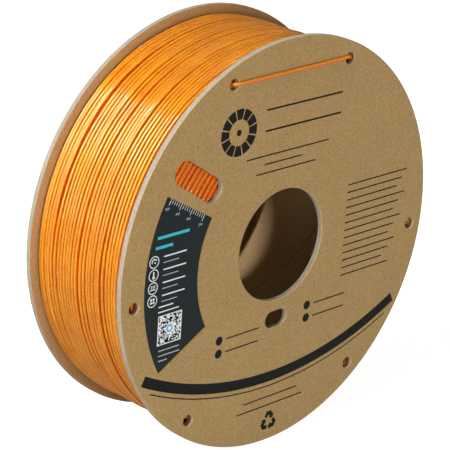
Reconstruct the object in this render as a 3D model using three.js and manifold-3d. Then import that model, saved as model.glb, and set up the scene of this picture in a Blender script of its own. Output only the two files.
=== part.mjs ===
// A full cardboard spool of 3D-printing filament, standing on its rims.
//
// Two die-cut flanges of laminated board are glued to a spiral-wound paper tube, which carries
// the winding. The free end of the strand is laced through two holes of the front flange.
//
// Millimetres, +Z up. The axis runs along Y and the printed front faces -Y. The origin is on
// the floor, under the middle of the axis.

import * as THREE from 'three';
import { mergeVertices } from 'three/addons/utils/BufferGeometryUtils.js';
import Module from 'manifold-3d';

const wasm = await Module();
wasm.setup();

// --- Driving sizes -------------------------------------------------------------------------

const FLANGE_RADIUS = 100;
const OVERALL_WIDTH = 64; // outer face to outer face
const BOARD_THICKNESS = 2.2; // greyboard in the middle of each flange
const LINER_THICKNESS = 0.25; // kraft paper on both sides of it
const GLUE_LINE = 0.05; // between glued sheets

const BORE_RADIUS = 27.5;
const DRIVE_SLOT_LENGTH = 13.8;
const DRIVE_SLOT_HEIGHT = 8.5;
const DRIVE_SLOT_BRIDGE = 5.4; // board left between the bore and the drive slot

const WINDOW_LENGTH = 33;
const WINDOW_HEIGHT = 12;
const WINDOW_RIM_DISTANCE = 29.7; // rim to the middle of the sight window
const WINDOW_ANGLE = 142.9; // degrees from +X, seen from the front
const WINDOW_TILT = 147; // direction of the window's long axis

const LACE_HOLE_RIM_DISTANCE = 8; // rim to the middle of a lacing hole
const LACE_HOLE_CLEARANCE = 1.9; // round the strand
const LACE_HOLE_HALF_SPREAD = 24.1; // degrees either side of a pair's middle
const LACE_PAIR_ANGLES = [90, 210, 330];

const CORE_RADIUS = 48.75; // outside of the paper tube
const CORE_BODY_WALL = 2.1;
const CORE_PLY_THICKNESS = 0.4; // inner and outer ply of the tube
const PLY_SEAM_GAP = 0.4; // between the edges of a wound ply
const PLY_LEAD = 121; // the tube's length in which a seam goes round once
const PLY_SEAM_ANGLE = -46; // where the inner seam crosses the middle of the tube
const TUBE_GLUE_THICKNESS = 0.3; // between a tube end and its flange
const GLUE_BEAD_LEG = 1.2; // squeezed out inside the tube

const STRAND_DIAMETER = 1.75;
const WINDING_RIM_DISTANCE = 4.3; // rim to the outside of the winding
const MOST_LOOPS = 24; // loops shown in the outer layer
const LEAST_STRAND_GAP = 0.5; // between neighbouring loops
const CLEARANCE = 0.3; // winding to tube, flanges and strand to its pockets
const LACE_BEND = 4; // bend radius at a lacing hole
const LACE_LEAN = 1; // sideways, each way from the hole's middle
const LACE_LIFT_IN = 1; // strand's height above the middle of the right-hand hole
const END_DIP = 1.6; // strand's end below the middle of the right-hand hole
const END_DEPTH = 5; // strand's end behind the flange
const START_BEND = 2.4; // where the layer comes up from the turns under it

const LABEL_THICKNESS = 0.12;
const LABEL_RIM_DISTANCE = 14;
const LABEL_WIDTH = 32.2; // across, from the inner to the outer arc
const LABEL_HALF_ANGLE = 29.4;
const LABEL_DROP = 2.6; // its arcs' centre under the spool's axis

// How finely round things are cut into flats.
const RIM_SIDES = 72;
const TUBE_SIDES = 48;
const SMALL_HOLE_SIDES = 10;
const SLOT_END_STEPS = 6;
const LOOP_STEPS = 24;
const STRAND_SIDES = 6;
const BEND_STEPS = 5;
const LABEL_STEPS = 12;
const SEAM_STEPS = 18;

// --- Sizes that follow ---------------------------------------------------------------------

const FLANGE_THICKNESS = BOARD_THICKNESS + 2 * (LINER_THICKNESS + GLUE_LINE);
const FACE = OVERALL_WIDTH / 2; // from mid-width to an outer face
const INNER_FACE = FACE - FLANGE_THICKNESS; // from mid-width to a flange's inner face
const STRAND_RADIUS = STRAND_DIAMETER / 2;
const LACE_HOLE_RADIUS = STRAND_RADIUS + LACE_HOLE_CLEARANCE;
const LACE_RING_RADIUS = FLANGE_RADIUS - LACE_HOLE_RIM_DISTANCE;
const DRIVE_SLOT_DROP = BORE_RADIUS + DRIVE_SLOT_BRIDGE + DRIVE_SLOT_HEIGHT / 2;
const WINDING_RADIUS = FLANGE_RADIUS - WINDING_RIM_DISTANCE;
const CORE_BORE_RADIUS =
  CORE_RADIUS - CORE_BODY_WALL - 2 * (CORE_PLY_THICKNESS + GLUE_LINE);

// --- Materials -----------------------------------------------------------------------------

function finish(color, roughness) {
  return new THREE.MeshStandardMaterial({ color, roughness, metalness: 0 });
}

const kraft = () => finish(0xa28555, 0.85);
const greyboard = () => finish(0xa5957f, 0.95);
const tubePaper = () => finish(0x8a6f4a, 0.9);
const glue = () => finish(0xe6dcc4, 0.4);
const plastic = () => finish(0xe07818, 0.3);
const labelPaper = () => finish(0x242a2b, 0.5);

// --- Outlines, seen from the front: x to the right, y up, centred on the axis ---------------

const onPlane = (degrees, radius) =>
  new THREE.Vector2(radius, 0).rotateAround(
    new THREE.Vector2(),
    THREE.MathUtils.degToRad(degrees)
  );

// A round outline whose flats, not its corners, lie at the true radius.
function roundOutline(radius, sides, centre = new THREE.Vector2()) {
  const corner = radius / Math.cos(Math.PI / sides);
  return Array.from({ length: sides }, (_, side) =>
    onPlane((360 * (side + 0.5)) / sides, corner).add(centre)
  );
}

// A slot with round ends, its long axis turned by tilt degrees.
function slotOutline(length, height, tilt, centre) {
  const reach = (length - height) / 2;
  const points = [];
  for (const end of [0, 180]) {
    for (let step = 0; step <= SLOT_END_STEPS; step++) {
      const angle = end - 90 + (180 * step) / SLOT_END_STEPS;
      points.push(onPlane(angle, height / 2).add(onPlane(end, reach)));
    }
  }
  const turn = THREE.MathUtils.degToRad(tilt);
  return points.map((point) => point.rotateAround(new THREE.Vector2(), turn).add(centre));
}

function arcPoints(radius, from, to, steps, centre) {
  return Array.from({ length: steps + 1 }, (_, step) =>
    onPlane(from + ((to - from) * step) / steps, radius).add(centre)
  );
}

// The openings that the die cuts through every sheet of a flange.
function flangeOpenings() {
  const windowCentre = onPlane(WINDOW_ANGLE, FLANGE_RADIUS - WINDOW_RIM_DISTANCE);
  const slotCentre = onPlane(270, DRIVE_SLOT_DROP);
  const laceHoles = LACE_PAIR_ANGLES.flatMap((middle) =>
    [-1, 1].map((side) =>
      roundOutline(
        LACE_HOLE_RADIUS,
        SMALL_HOLE_SIDES,
        onPlane(middle + side * LACE_HOLE_HALF_SPREAD, LACE_RING_RADIUS)
      )
    )
  );
  return [
    roundOutline(BORE_RADIUS, TUBE_SIDES),
    slotOutline(DRIVE_SLOT_LENGTH, DRIVE_SLOT_HEIGHT, 0, slotCentre),
    slotOutline(WINDOW_LENGTH, WINDOW_HEIGHT, WINDOW_TILT, windowCentre),
    ...laceHoles
  ];
}

// --- Solids --------------------------------------------------------------------------------

// A flat sheet from an outline and its openings, with its front at y = front.
function sheet(outline, openings, front, thickness) {
  const shape = new THREE.Shape(outline);
  shape.holes = openings.map((points) => new THREE.Path(points));
  const geometry = new THREE.ExtrudeGeometry(shape, { depth: thickness, bevelEnabled: false });
  const standUp = new THREE.Matrix4().set(1, 0, 0, 0, 0, 0, -1, 0, 0, 1, 0, 0, 0, 0, 0, 1);
  return geometry.applyMatrix4(standUp).translate(0, front + thickness, 0);
}

// A solid of revolution round the spool's axis; its flats lie at the profile's radii.
function turned(profile) {
  const outward = 1 / Math.cos(Math.PI / TUBE_SIDES);
  const points = profile.map(([radius, y]) => new THREE.Vector2(radius * outward, y));
  return new THREE.LatheGeometry([...points, points[0]], TUBE_SIDES, Math.PI / TUBE_SIDES);
}

function tube(inside, outside, halfLength) {
  return turned([
    [inside, -halfLength],
    [outside, -halfLength],
    [outside, halfLength],
    [inside, halfLength]
  ]);
}

// A closed skin over rings of equally many points. Each ring runs right-handed about the way.
function skinOver(rings) {
  const sides = rings[0].length;
  const last = (rings.length - 1) * sides;
  const faces = [];
  for (let start = 0; start < last; start += sides) {
    for (let side = 0; side < sides; side++) {
      const next = (side + 1) % sides;
      faces.push(start + side, start + next, start + sides + next);
      faces.push(start + side, start + sides + next, start + sides + side);
    }
  }
  for (let side = 1; side < sides - 1; side++) {
    faces.push(0, side + 1, side);
    faces.push(last, last + side, last + side + 1);
  }
  const geometry = new THREE.BufferGeometry().setFromPoints(rings.flat());
  geometry.setIndex(faces);
  return geometry;
}

// A point round the spool's axis, with the front's angles.
function around(degrees, radius, y) {
  const { x, y: z } = onPlane(degrees, radius);
  return new THREE.Vector3(x, y, z);
}

// A round strand along points, each ring square to the way and level with the spool's radius.
function strandAlong(points, radius) {
  const rings = points.map((point, place) => {
    const before = points[Math.max(place - 1, 0)];
    const after = points[Math.min(place + 1, points.length - 1)];
    const way = after.clone().sub(before).normalize();
    const outward = new THREE.Vector3(point.x, 0, point.z).normalize();
    const across = new THREE.Vector3().crossVectors(way, outward);
    if (across.length() < 0.5) across.set(0, 1, 0).cross(way).cross(way).negate();
    across.normalize();
    const normal = new THREE.Vector3().crossVectors(across, way);
    return Array.from({ length: STRAND_SIDES }, (_, side) => {
      const turn = (2 * Math.PI * side) / STRAND_SIDES;
      return point
        .clone()
        .addScaledVector(normal, radius * Math.cos(turn))
        .addScaledVector(across, radius * Math.sin(turn));
    });
  });
  return skinOver(rings);
}

function toManifold(geometry) {
  const plain = geometry.clone();
  plain.deleteAttribute('normal');
  plain.deleteAttribute('uv');
  const merged = mergeVertices(plain, 1e-4);
  const mesh = new wasm.Mesh({
    numProp: 3,
    vertProperties: new Float32Array(merged.attributes.position.array),
    triVerts: new Uint32Array(merged.index.array)
  });
  return new wasm.Manifold(mesh);
}

function cutAway(geometry, cutters) {
  const rest = cutters.reduce(
    (solid, cutter) => solid.subtract(toManifold(cutter)),
    toManifold(geometry)
  );
  const mesh = rest.getMesh();
  const result = new THREE.BufferGeometry();
  result.setAttribute('position', new THREE.BufferAttribute(mesh.vertProperties, 3));
  result.setIndex(new THREE.BufferAttribute(mesh.triVerts, 1));
  return result;
}

// --- The strand's way ----------------------------------------------------------------------

// Points along straight lines whose corners are rounded, as far as the lines leave room.
function roundedWay(corners, bendRadius) {
  const points = [corners[0]];
  for (let place = 1; place < corners.length - 1; place++) {
    const corner = corners[place];
    const back = corners[place - 1].clone().sub(corner);
    const ahead = corners[place + 1].clone().sub(corner);
    const halfTurn = (Math.PI - back.angleTo(ahead)) / 2;
    const room = Math.min(back.length(), ahead.length()) * 0.49;
    const tangent = Math.min(bendRadius * Math.tan(halfTurn), room);
    const radius = tangent / Math.tan(halfTurn);
    const inwards = back.clone().normalize().add(ahead.clone().normalize()).normalize();
    const centre = corner.clone().addScaledVector(inwards, radius / Math.cos(halfTurn));
    const first = corner.clone().addScaledVector(back.normalize(), tangent).sub(centre);
    const axis = new THREE.Vector3().crossVectors(ahead, back).normalize();
    for (let step = 0; step <= BEND_STEPS; step++) {
      const turn = (2 * halfTurn * step) / BEND_STEPS;
      points.push(first.clone().applyAxisAngle(axis, turn).add(centre));
    }
  }
  return [...points, corners.at(-1)];
}

const loopRadius = WINDING_RADIUS - STRAND_RADIUS;
const firstY = INNER_FACE - CLEARANCE - STRAND_RADIUS;
const windingRun = 2 * firstY;
const roomForLoops = Math.floor(windingRun / (STRAND_DIAMETER + LEAST_STRAND_GAP));
const loops = Math.min(MOST_LOOPS, roomForLoops) - 0.5;
const loopSteps = loops * LOOP_STEPS;
const stepAngle = 360 / LOOP_STEPS;
const leftHole = LACE_PAIR_ANGLES[0] + LACE_HOLE_HALF_SPREAD;
const rightHole = LACE_PAIR_ANGLES[0] - LACE_HOLE_HALF_SPREAD;
const helixEnd = leftHole + stepAngle; // the strand leaves the layer a step before its hole

// The outer layer comes up from the turns below beside the back flange, winds towards the
// front and passes out through the left-hand hole, over the face and in through the other.
function layerWay() {
  const helix = [];
  for (let step = 0; step <= loopSteps; step++) {
    const y = firstY - (windingRun * step) / loopSteps;
    helix.push(around(helixEnd + (loopSteps - step) * stepAngle, loopRadius, y));
  }
  const startAngle = helixEnd + (loopSteps + 1) * stepAngle;
  const startRun = START_BEND + STRAND_DIAMETER + CLEARANCE;
  const start = around(startAngle, loopRadius - startRun, firstY);
  const startCorner = around(startAngle, loopRadius, firstY);

  const lean = THREE.MathUtils.radToDeg(LACE_LEAN / LACE_RING_RADIUS);
  const overFace = -(FACE + CLEARANCE + STRAND_RADIUS);
  const laceCorners = [
    helix.at(-1),
    around(leftHole + lean, LACE_RING_RADIUS, -firstY),
    around(leftHole - lean, LACE_RING_RADIUS, overFace),
    around(rightHole + lean, LACE_RING_RADIUS + LACE_LIFT_IN, overFace),
    around(rightHole - lean, LACE_RING_RADIUS - END_DIP, -INNER_FACE + END_DEPTH)
  ];
  const rise = roundedWay([start, startCorner, helix[0]], START_BEND).slice(0, -1);
  const lace = roundedWay(laceCorners, LACE_BEND).slice(1);
  return { rise, helix, lace, points: [...rise, ...helix, ...lace] };
}

// The least gap between stretches of a strand that lie more than a few diameters apart along it.
function leastGap(points, diameter) {
  const spaced = new THREE.CurvePath();
  for (let place = 1; place < points.length; place++) {
    spaced.add(new THREE.LineCurve3(points[place - 1], points[place]));
  }
  const samples = [];
  for (const line of spaced.curves) {
    const pieces = Math.max(1, Math.ceil(line.getLength() / (3 * diameter)));
    for (let piece = 0; piece < pieces; piece++) samples.push(line.getPoint(piece / pieces));
  }
  let along = 0;
  const lengths = samples.map((point, place) => {
    if (place > 0) along += point.distanceTo(samples[place - 1]);
    return along;
  });
  let least = Infinity;
  for (let one = 0; one < samples.length; one++) {
    for (let other = one + 1; other < samples.length; other++) {
      if (lengths[other] - lengths[one] < 8 * diameter) continue;
      least = Math.min(least, samples[one].distanceTo(samples[other]));
    }
  }
  return least - diameter;
}

const way = layerWay();
console.log('least gap of the strand to itself, mm:', leastGap(way.points, STRAND_DIAMETER).toFixed(2));

// --- Pieces --------------------------------------------------------------------------------

function piece(name, geometry, material) {
  const mesh = new THREE.Mesh(geometry, material);
  mesh.name = name;
  return mesh;
}

// One flange, with its outer face at y = -FACE: outer liner, board and inner liner.
function flange(side) {
  const rim = roundOutline(FLANGE_RADIUS, RIM_SIDES);
  const openings = flangeOpenings();
  const boardFront = -FACE + LINER_THICKNESS + GLUE_LINE;
  const innerFront = boardFront + BOARD_THICKNESS + GLUE_LINE;
  const group = new THREE.Group();
  group.add(
    piece(`${side}_outer_liner`, sheet(rim, openings, -FACE, LINER_THICKNESS), kraft()),
    piece(`${side}_flange_board`, sheet(rim, openings, boardFront, BOARD_THICKNESS), greyboard()),
    piece(`${side}_inner_liner`, sheet(rim, openings, innerFront, LINER_THICKNESS), kraft()),
    piece(`${side}_glue_ring`, glueRing(), glue())
  );
  return group;
}

// Glue between a tube end and the flange, with the bead that was squeezed out inside.
function glueRing() {
  const flangeSide = -INNER_FACE + GLUE_LINE;
  const tubeSide = flangeSide + TUBE_GLUE_THICKNESS;
  const beadRadius = CORE_BORE_RADIUS - GLUE_LINE;
  return turned([
    [beadRadius - GLUE_BEAD_LEG, flangeSide],
    [CORE_RADIUS, flangeSide],
    [CORE_RADIUS, tubeSide],
    [beadRadius, tubeSide],
    [beadRadius, tubeSide + GLUE_BEAD_LEG]
  ]);
}

// A ply is a paper strip wound once along the tube, so its edges leave a spiral seam.
function woundPly(inside, halfLength, seamAngle) {
  const outside = inside + CORE_PLY_THICKNESS;
  const halfSeam = THREE.MathUtils.radToDeg(PLY_SEAM_GAP / 2 / inside);
  const reach = halfLength + PLY_SEAM_GAP;
  const rings = Array.from({ length: SEAM_STEPS + 1 }, (_, step) => {
    const y = reach * ((2 * step) / SEAM_STEPS - 1);
    const middle = seamAngle - (360 * y) / PLY_LEAD;
    return [
      around(middle + halfSeam, inside - PLY_SEAM_GAP, y),
      around(middle + halfSeam, outside + PLY_SEAM_GAP, y),
      around(middle - halfSeam, outside + PLY_SEAM_GAP, y),
      around(middle - halfSeam, inside - PLY_SEAM_GAP, y)
    ];
  });
  return cutAway(tube(inside, outside, halfLength), [skinOver(rings)]);
}

function coreTube() {
  const halfLength = INNER_FACE - TUBE_GLUE_THICKNESS - 2 * GLUE_LINE;
  const bodyInside = CORE_BORE_RADIUS + CORE_PLY_THICKNESS + GLUE_LINE;
  const bodyOutside = bodyInside + CORE_BODY_WALL;
  const group = new THREE.Group();
  group.add(
    piece(
      'core_inner_ply',
      woundPly(CORE_BORE_RADIUS, halfLength, PLY_SEAM_ANGLE),
      tubePaper()
    ),
    piece('core_tube_body', tube(bodyInside, bodyOutside, halfLength), greyboard()),
    piece(
      'core_outer_ply',
      woundPly(bodyOutside + GLUE_LINE, halfLength, PLY_SEAM_ANGLE + 180),
      tubePaper()
    )
  );
  return group;
}

// The turns under the outer layer, with room for the strand where it leaves that layer.
function innerLayers() {
  const halfWidth = INNER_FACE - CLEARANCE;
  const outside = loopRadius - STRAND_RADIUS - CLEARANCE;
  const outline = Array.from({ length: LOOP_STEPS }, (_, step) =>
    onPlane(helixEnd + step * stepAngle, outside)
  );
  const seat = roundOutline(CORE_RADIUS + CLEARANCE, TUBE_SIDES);
  const ring = sheet(outline, [seat], -halfWidth, 2 * halfWidth);
  const roomRadius = STRAND_RADIUS + CLEARANCE;
  const extended = (points) => {
    const tip = points.at(-1).clone().sub(points.at(-2)).setLength(CLEARANCE);
    return [...points, points.at(-1).clone().add(tip)];
  };
  const startRoom = extended([...way.rise, way.helix[0]].reverse());
  const behindHole = [way.helix.at(-1), ...way.lace.slice(0, BEND_STEPS + 1)];
  const endRoom = extended(way.lace.slice(-2));
  return cutAway(
    ring,
    [startRoom, behindHole, endRoom].map((points) => strandAlong(points, roomRadius))
  );
}

function winding() {
  const group = new THREE.Group();
  group.add(
    piece('filament_inner_layers', innerLayers(), plastic()),
    piece('filament_outer_layer', strandAlong(way.points, STRAND_RADIUS), plastic())
  );
  return group;
}

// The paper label beside the sight window, where the winding is read against its scale.
function gaugeLabel() {
  const centre = new THREE.Vector2(0, -LABEL_DROP);
  const outer = FLANGE_RADIUS - LABEL_RIM_DISTANCE;
  const from = 180 - LABEL_HALF_ANGLE;
  const to = 180 + LABEL_HALF_ANGLE;
  const outline = [
    ...arcPoints(outer, from, to, LABEL_STEPS, centre),
    ...arcPoints(outer - LABEL_WIDTH, to, from, LABEL_STEPS, centre)
  ];
  const front = -FACE - GLUE_LINE - LABEL_THICKNESS;
  return piece('gauge_label', sheet(outline, [], front, LABEL_THICKNESS), labelPaper());
}

const frontFlange = flange('front');
const backFlange = flange('back');
backFlange.rotation.z = Math.PI; // the same die-cut disc, turned to face the other way

const spool = new THREE.Group();
spool.position.z = FLANGE_RADIUS;
spool.add(frontFlange, backFlange, coreTube(), winding(), gaugeLabel());

export default spool;
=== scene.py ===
# %% [markdown]
# # A full cardboard filament spool
# The spool is two die-cut flanges of laminated board, glued to a spiral-wound paper tube that
# is wound full of plastic strand. The solids of the frame give every size and place. This
# lesson dresses them: sheets with pressed edges, one unbroken wound strand, paper, ink and light.

# %% Frame
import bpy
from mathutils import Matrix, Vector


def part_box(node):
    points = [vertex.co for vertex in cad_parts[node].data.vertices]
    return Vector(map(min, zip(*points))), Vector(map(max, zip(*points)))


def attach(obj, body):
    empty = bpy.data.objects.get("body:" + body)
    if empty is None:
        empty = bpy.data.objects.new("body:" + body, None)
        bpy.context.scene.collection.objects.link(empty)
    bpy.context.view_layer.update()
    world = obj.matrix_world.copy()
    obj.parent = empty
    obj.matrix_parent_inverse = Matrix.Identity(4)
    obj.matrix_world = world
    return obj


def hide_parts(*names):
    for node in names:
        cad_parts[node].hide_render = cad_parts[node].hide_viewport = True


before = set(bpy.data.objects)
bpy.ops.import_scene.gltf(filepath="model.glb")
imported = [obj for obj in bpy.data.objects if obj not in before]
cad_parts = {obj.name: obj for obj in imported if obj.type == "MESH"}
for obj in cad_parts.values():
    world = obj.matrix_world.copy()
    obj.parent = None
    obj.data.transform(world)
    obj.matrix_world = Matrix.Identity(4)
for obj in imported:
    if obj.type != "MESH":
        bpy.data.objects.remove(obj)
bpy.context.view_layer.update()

import math

import bmesh
import bpy
import numpy as np
from mathutils import Matrix, Vector
from mathutils.geometry import delaunay_2d_cdt

SEED = 7
random = np.random.default_rng(SEED)
print("solids in the frame:", len(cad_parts))

# %% [markdown]
# ## Working coordinates
# All shapes are worked out in millimetres about the spool's axis: x to the right and z up as
# seen from the printed front, y along the axis towards the back. One function moves a finished
# array into the frame, in metres, so no object ever needs a place of its own.

# %% Sizes read from the frame
MM = 0.001
low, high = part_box("front_outer_liner")
AXIS_HEIGHT = (low.z + high.z) / 2
FLANGE_RADIUS = (high.x - low.x) / 2 / MM
FACE = -low.y / MM
LINER = (high.y - low.y) / MM
BOARD_FRONT, BOARD_BACK = (corner.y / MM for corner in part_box("front_flange_board"))
INNER_LINER_FRONT, INNER_FACE = (corner.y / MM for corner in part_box("front_inner_liner"))
TUBE_HALF_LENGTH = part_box("core_inner_ply")[1].y / MM
print(f"flange radius {FLANGE_RADIUS:.1f}, width {2 * FACE:.1f}, gap between {-2 * INNER_FACE:.1f} mm")


def to_frame(points):
    """Millimetres about the axis become metres in the frame: scaled, then raised by the axis."""
    return np.asarray(points, float) * MM + (0.0, 0.0, AXIS_HEIGHT)


# %% [markdown]
# ## Camera
# The picture was taken from the front left, a little above, with a long lens. The three
# directions of the camera are worked out from its azimuth, elevation and roll.

# %% Camera
CAMERA_AZIMUTH = math.radians(-45.76)
CAMERA_ELEVATION = math.radians(20.71)
CAMERA_ROLL = math.radians(3.78)
CAMERA_PLACE = (-0.71124, -0.68745, 0.47352)
CAMERA_LENS = 178.85


def camera_turn(azimuth, elevation, roll):
    """Columns right, up and back of a camera at that azimuth and elevation, rolled by roll."""
    back = Vector((
        math.sin(azimuth) * math.cos(elevation),
        -math.cos(azimuth) * math.cos(elevation),
        math.sin(elevation),
    ))
    right = Vector((math.cos(azimuth), math.sin(azimuth), 0.0))
    up = back.cross(right)
    turned_right = right * math.cos(roll) + up * math.sin(roll)
    turned_up = up * math.cos(roll) - right * math.sin(roll)
    return Matrix((turned_right, turned_up, back)).transposed().to_4x4()


scene = bpy.context.scene
camera_data = bpy.data.cameras.new("camera")
camera_data.lens = CAMERA_LENS
camera_data.clip_start, camera_data.clip_end = 0.05, 20.0
camera = bpy.data.objects.new("camera", camera_data)
camera.matrix_world = Matrix.Translation(CAMERA_PLACE) @ camera_turn(
    CAMERA_AZIMUTH, CAMERA_ELEVATION, CAMERA_ROLL
)
scene.collection.objects.link(camera)
scene.camera = camera
scene.view_settings.view_transform = "Standard"
camera_distance = (camera.matrix_world.translation - Vector((0.0, 0.0, AXIS_HEIGHT))).length
print(f"camera {camera_distance:.2f} m from the spool, lens {CAMERA_LENS:.0f} mm")

# %% [markdown]
# ## Material helper
# Every finish here is a Principled shader fed by a few procedural patterns in object
# coordinates, which stay put on the piece from any side. The helpers keep each recipe short:
# they make nodes, join them and return their outputs.


# %% Material helper
class Nodes:
    """The node tree of a material or a world under construction."""

    def __init__(self, owner):
        """Switches the owner's nodes on and keeps their tree."""
        owner.use_nodes = True
        self.tree = owner.node_tree

    def node(self, kind, settings=(), **inputs):
        """A node of that kind; sockets named by keyword, or by i0, i1 ... for their number."""
        made = self.tree.nodes.new(f"ShaderNode{kind}")
        for key, value in dict(settings).items():
            setattr(made, key, value)
        for key, value in inputs.items():
            slot = int(key[1:]) if key[0] == "i" and key[1:].isdigit() else key.replace("_", " ")
            if isinstance(value, bpy.types.NodeSocket):
                self.tree.links.new(value, made.inputs[slot])
            else:
                made.inputs[slot].default_value = value
        return made

    def step(self, operation, one, other):
        """One arithmetic step, such as ADD or MAXIMUM."""
        return self.node("Math", {"operation": operation}, i0=one, i1=other).outputs[0]


class Finish(Nodes):
    """A Principled material under construction, with short words for its usual nodes."""

    def __init__(self, name, **sockets):
        """A new material whose plain values go straight to the shader's own sockets."""
        self.material = bpy.data.materials.new(name)
        super().__init__(self.material)
        self.shader = self.tree.nodes["Principled BSDF"]
        for socket, value in sockets.items():
            self.shader.inputs[socket.replace("_", " ")].default_value = value
        coordinates = self.node("TexCoord")
        self.place = coordinates.outputs["Object"]
        self.normal = coordinates.outputs["Normal"]

    def scaled(self, per_metre, stretch=(1, 1, 1), turn=0.0):
        """Object coordinates turned about y by degrees, then times per_metre and stretch."""
        return self.node(
            "Mapping", {"vector_type": "TEXTURE"},
            Vector=self.place, Rotation=(0.0, math.radians(turn), 0.0),
            Scale=[1 / (per_metre * share) for share in stretch],
        ).outputs[0]

    def noise(self, per_metre, detail=2.0, stretch=(1, 1, 1), turn=0.0, distortion=0.0):
        """Fractal noise from 0 to 1 with that many features in a metre."""
        place = self.scaled(per_metre, stretch, turn)
        return self.node(
            "TexNoise", Vector=place, Scale=1.0, Detail=detail, Distortion=distortion
        ).outputs["Fac"]

    def cells(self, per_metre, output="Distance"):
        """Voronoi cells, that many in a metre."""
        return self.node("TexVoronoi", Vector=self.scaled(per_metre), Scale=1.0).outputs[output]

    def between(self, value, start, end, low=0.0, high=1.0):
        """value from start to end becomes low to high, and stays there beyond."""
        return self.node(
            "MapRange", {"interpolation_type": "SMOOTHSTEP"},
            Value=value, From_Min=start, From_Max=end, To_Min=low, To_Max=high,
        ).outputs[0]

    def spread(self, value, low=0.0, high=1.0):
        """Noise keeps near its middle: its values from 0.3 to 0.7 fill low to high."""
        return self.between(value, 0.3, 0.7, low, high)

    def times(self, one, other):
        """The product of two values."""
        return self.step("MULTIPLY", one, other)

    def mix(self, factor, one, other):
        """Colour one where factor is 0, the other where it is 1."""
        made = self.node("Mix", {"data_type": "RGBA"}, i0=factor)
        for socket, colour in ((6, one), (7, other)):
            if isinstance(colour, bpy.types.NodeSocket):
                self.tree.links.new(colour, made.inputs[socket])
            else:
                made.inputs[socket].default_value = (*colour, 1.0)
        return made.outputs[2]

    def bump(self, height, depth_mm, under=None):
        """A bump whose full height is depth_mm, on top of the bump under."""
        inputs = {"Height": height, "Distance": depth_mm * MM, "Strength": 1.0}
        if under is not None:
            inputs["Normal"] = under
        return self.node("Bump", **inputs).outputs[0]

    def done(self, colour, normal=None, roughness=None):
        """Joins the patterns to the shader and returns the material."""
        pairs = (("Base Color", colour), ("Normal", normal), ("Roughness", roughness))
        for socket, value in pairs:
            if value is not None:
                self.tree.links.new(value, self.shader.inputs[socket])
        return self.material


# %% [markdown]
# ## Kraft paper
# The liners are unbleached paper: a brown that clouds softly over centimetres, with a fine
# grain, pale fibres, dark hairs and a few specks of bark. A picture of paper would repeat and
# slide over the edges, so noise is used: stretched at several angles, it stands for the fibres.
# Where the paper is rolled over an edge it is painted a little paler, a painted highlight on the roll.

# %% Kraft paper
FIBRES_PER_METRE = 1500
FIBRE_ANGLES, HAIR_ANGLE = (12, 66, 128), 100
# colour of the painted highlight on rolled edges
EDGE_HIGHLIGHT_COLOUR = (0.74, 0.66, 0.46)


def kraft_paper(name, light, dark, cloud_share=0.14, edge_highlight=0.0):
    """Paper colour = clouds and grain between dark and light, then fibres, hairs and specks.

    Where the sheet rolls away from its flat face (normal y under 1), it is paler by the last argument:
    a painted highlight on the rolled edge.
    """
    pale = [1.35 * channel for channel in light]
    deep = [0.45 * channel for channel in dark]
    paper = Finish(name, Roughness=0.85, Specular_IOR_Level=0.2)
    cloud = paper.spread(paper.noise(55, 4))
    grain = paper.spread(paper.noise(1150, 3))
    tone = paper.step("ADD", paper.times(cloud, cloud_share), paper.times(grain, 1 - cloud_share))
    colour = paper.mix(tone, dark, light)
    fibres = 0.0
    for angle in FIBRE_ANGLES:
        drawn_out = paper.noise(FIBRES_PER_METRE, 2, (1, 1, 0.16), angle, 0.6)
        fibres = paper.step("MAXIMUM", fibres, paper.between(drawn_out, 0.58, 0.74))
    colour = paper.mix(paper.times(fibres, 0.3), colour, pale)
    drawn_out = paper.noise(FIBRES_PER_METRE, 2, (1, 1, 0.2), HAIR_ANGLE, 0.8)
    hairs = paper.between(drawn_out, 0.66, 0.8)
    colour = paper.mix(paper.times(hairs, 0.4), colour, deep)
    specks = paper.between(paper.cells(210), 0.05, 0.09, 1.0, 0.0)
    rare = paper.between(paper.noise(120, 1), 0.55, 0.6)
    colour = paper.mix(paper.times(specks, rare), colour, deep)
    facing = paper.node("SeparateXYZ", Vector=paper.normal).outputs["Y"]
    # painted highlight: paler where the normal turns away from the flat face
    painted_edge_highlight = paper.between(paper.times(facing, facing), 0.45, 0.97, edge_highlight, 0.0)
    colour = paper.mix(painted_edge_highlight, colour, EDGE_HIGHLIGHT_COLOUR)
    relief = paper.bump(paper.noise(45, 2), 0.25)
    relief = paper.bump(grain, 0.03, relief)
    relief = paper.bump(fibres, 0.025, relief)
    return paper.done(colour, relief)


KRAFT = kraft_paper("kraft_liner", (0.4, 0.26, 0.105), (0.275, 0.178, 0.07), edge_highlight=0.16)
KRAFT_INSIDE = kraft_paper("kraft_inner_liner", (0.4, 0.242, 0.102), (0.3, 0.175, 0.069))
TUBE_PAPER = kraft_paper("tube_paper", (0.43, 0.285, 0.14), (0.34, 0.218, 0.104), 0.3)

# %% [markdown]
# ## Greyboard
# The cut edge of the board is grey recycled pulp, pressed in layers. It is paler than the kraft,
# speckled with darker and lighter pulp, and lightly streaked along the layers. The layers lie
# across y, so noise that is squeezed along y draws them on every cut edge at once.


# %% Greyboard
def grey_board():
    """Grey pulp: layer streaks and speckles between a dark and a pale grey, with a rough cut."""
    board = Finish("greyboard", Roughness=0.95, Specular_IOR_Level=0.2)
    layers = board.spread(board.noise(150, 3, (1, 14, 1)))
    speckle = board.spread(board.noise(1500, 3))
    colour = board.mix(layers, (0.24, 0.212, 0.163), (0.34, 0.31, 0.255))
    colour = board.mix(board.times(speckle, 0.5), colour, (0.46, 0.43, 0.365))
    pulp = board.between(board.cells(800), 0.12, 0.2, 1.0, 0.0)
    colour = board.mix(board.times(pulp, 0.5), colour, (0.2, 0.16, 0.11))
    relief = board.bump(layers, 0.12)
    relief = board.bump(speckle, 0.1, relief)
    return board.done(colour, relief)


GREYBOARD = grey_board()
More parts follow.
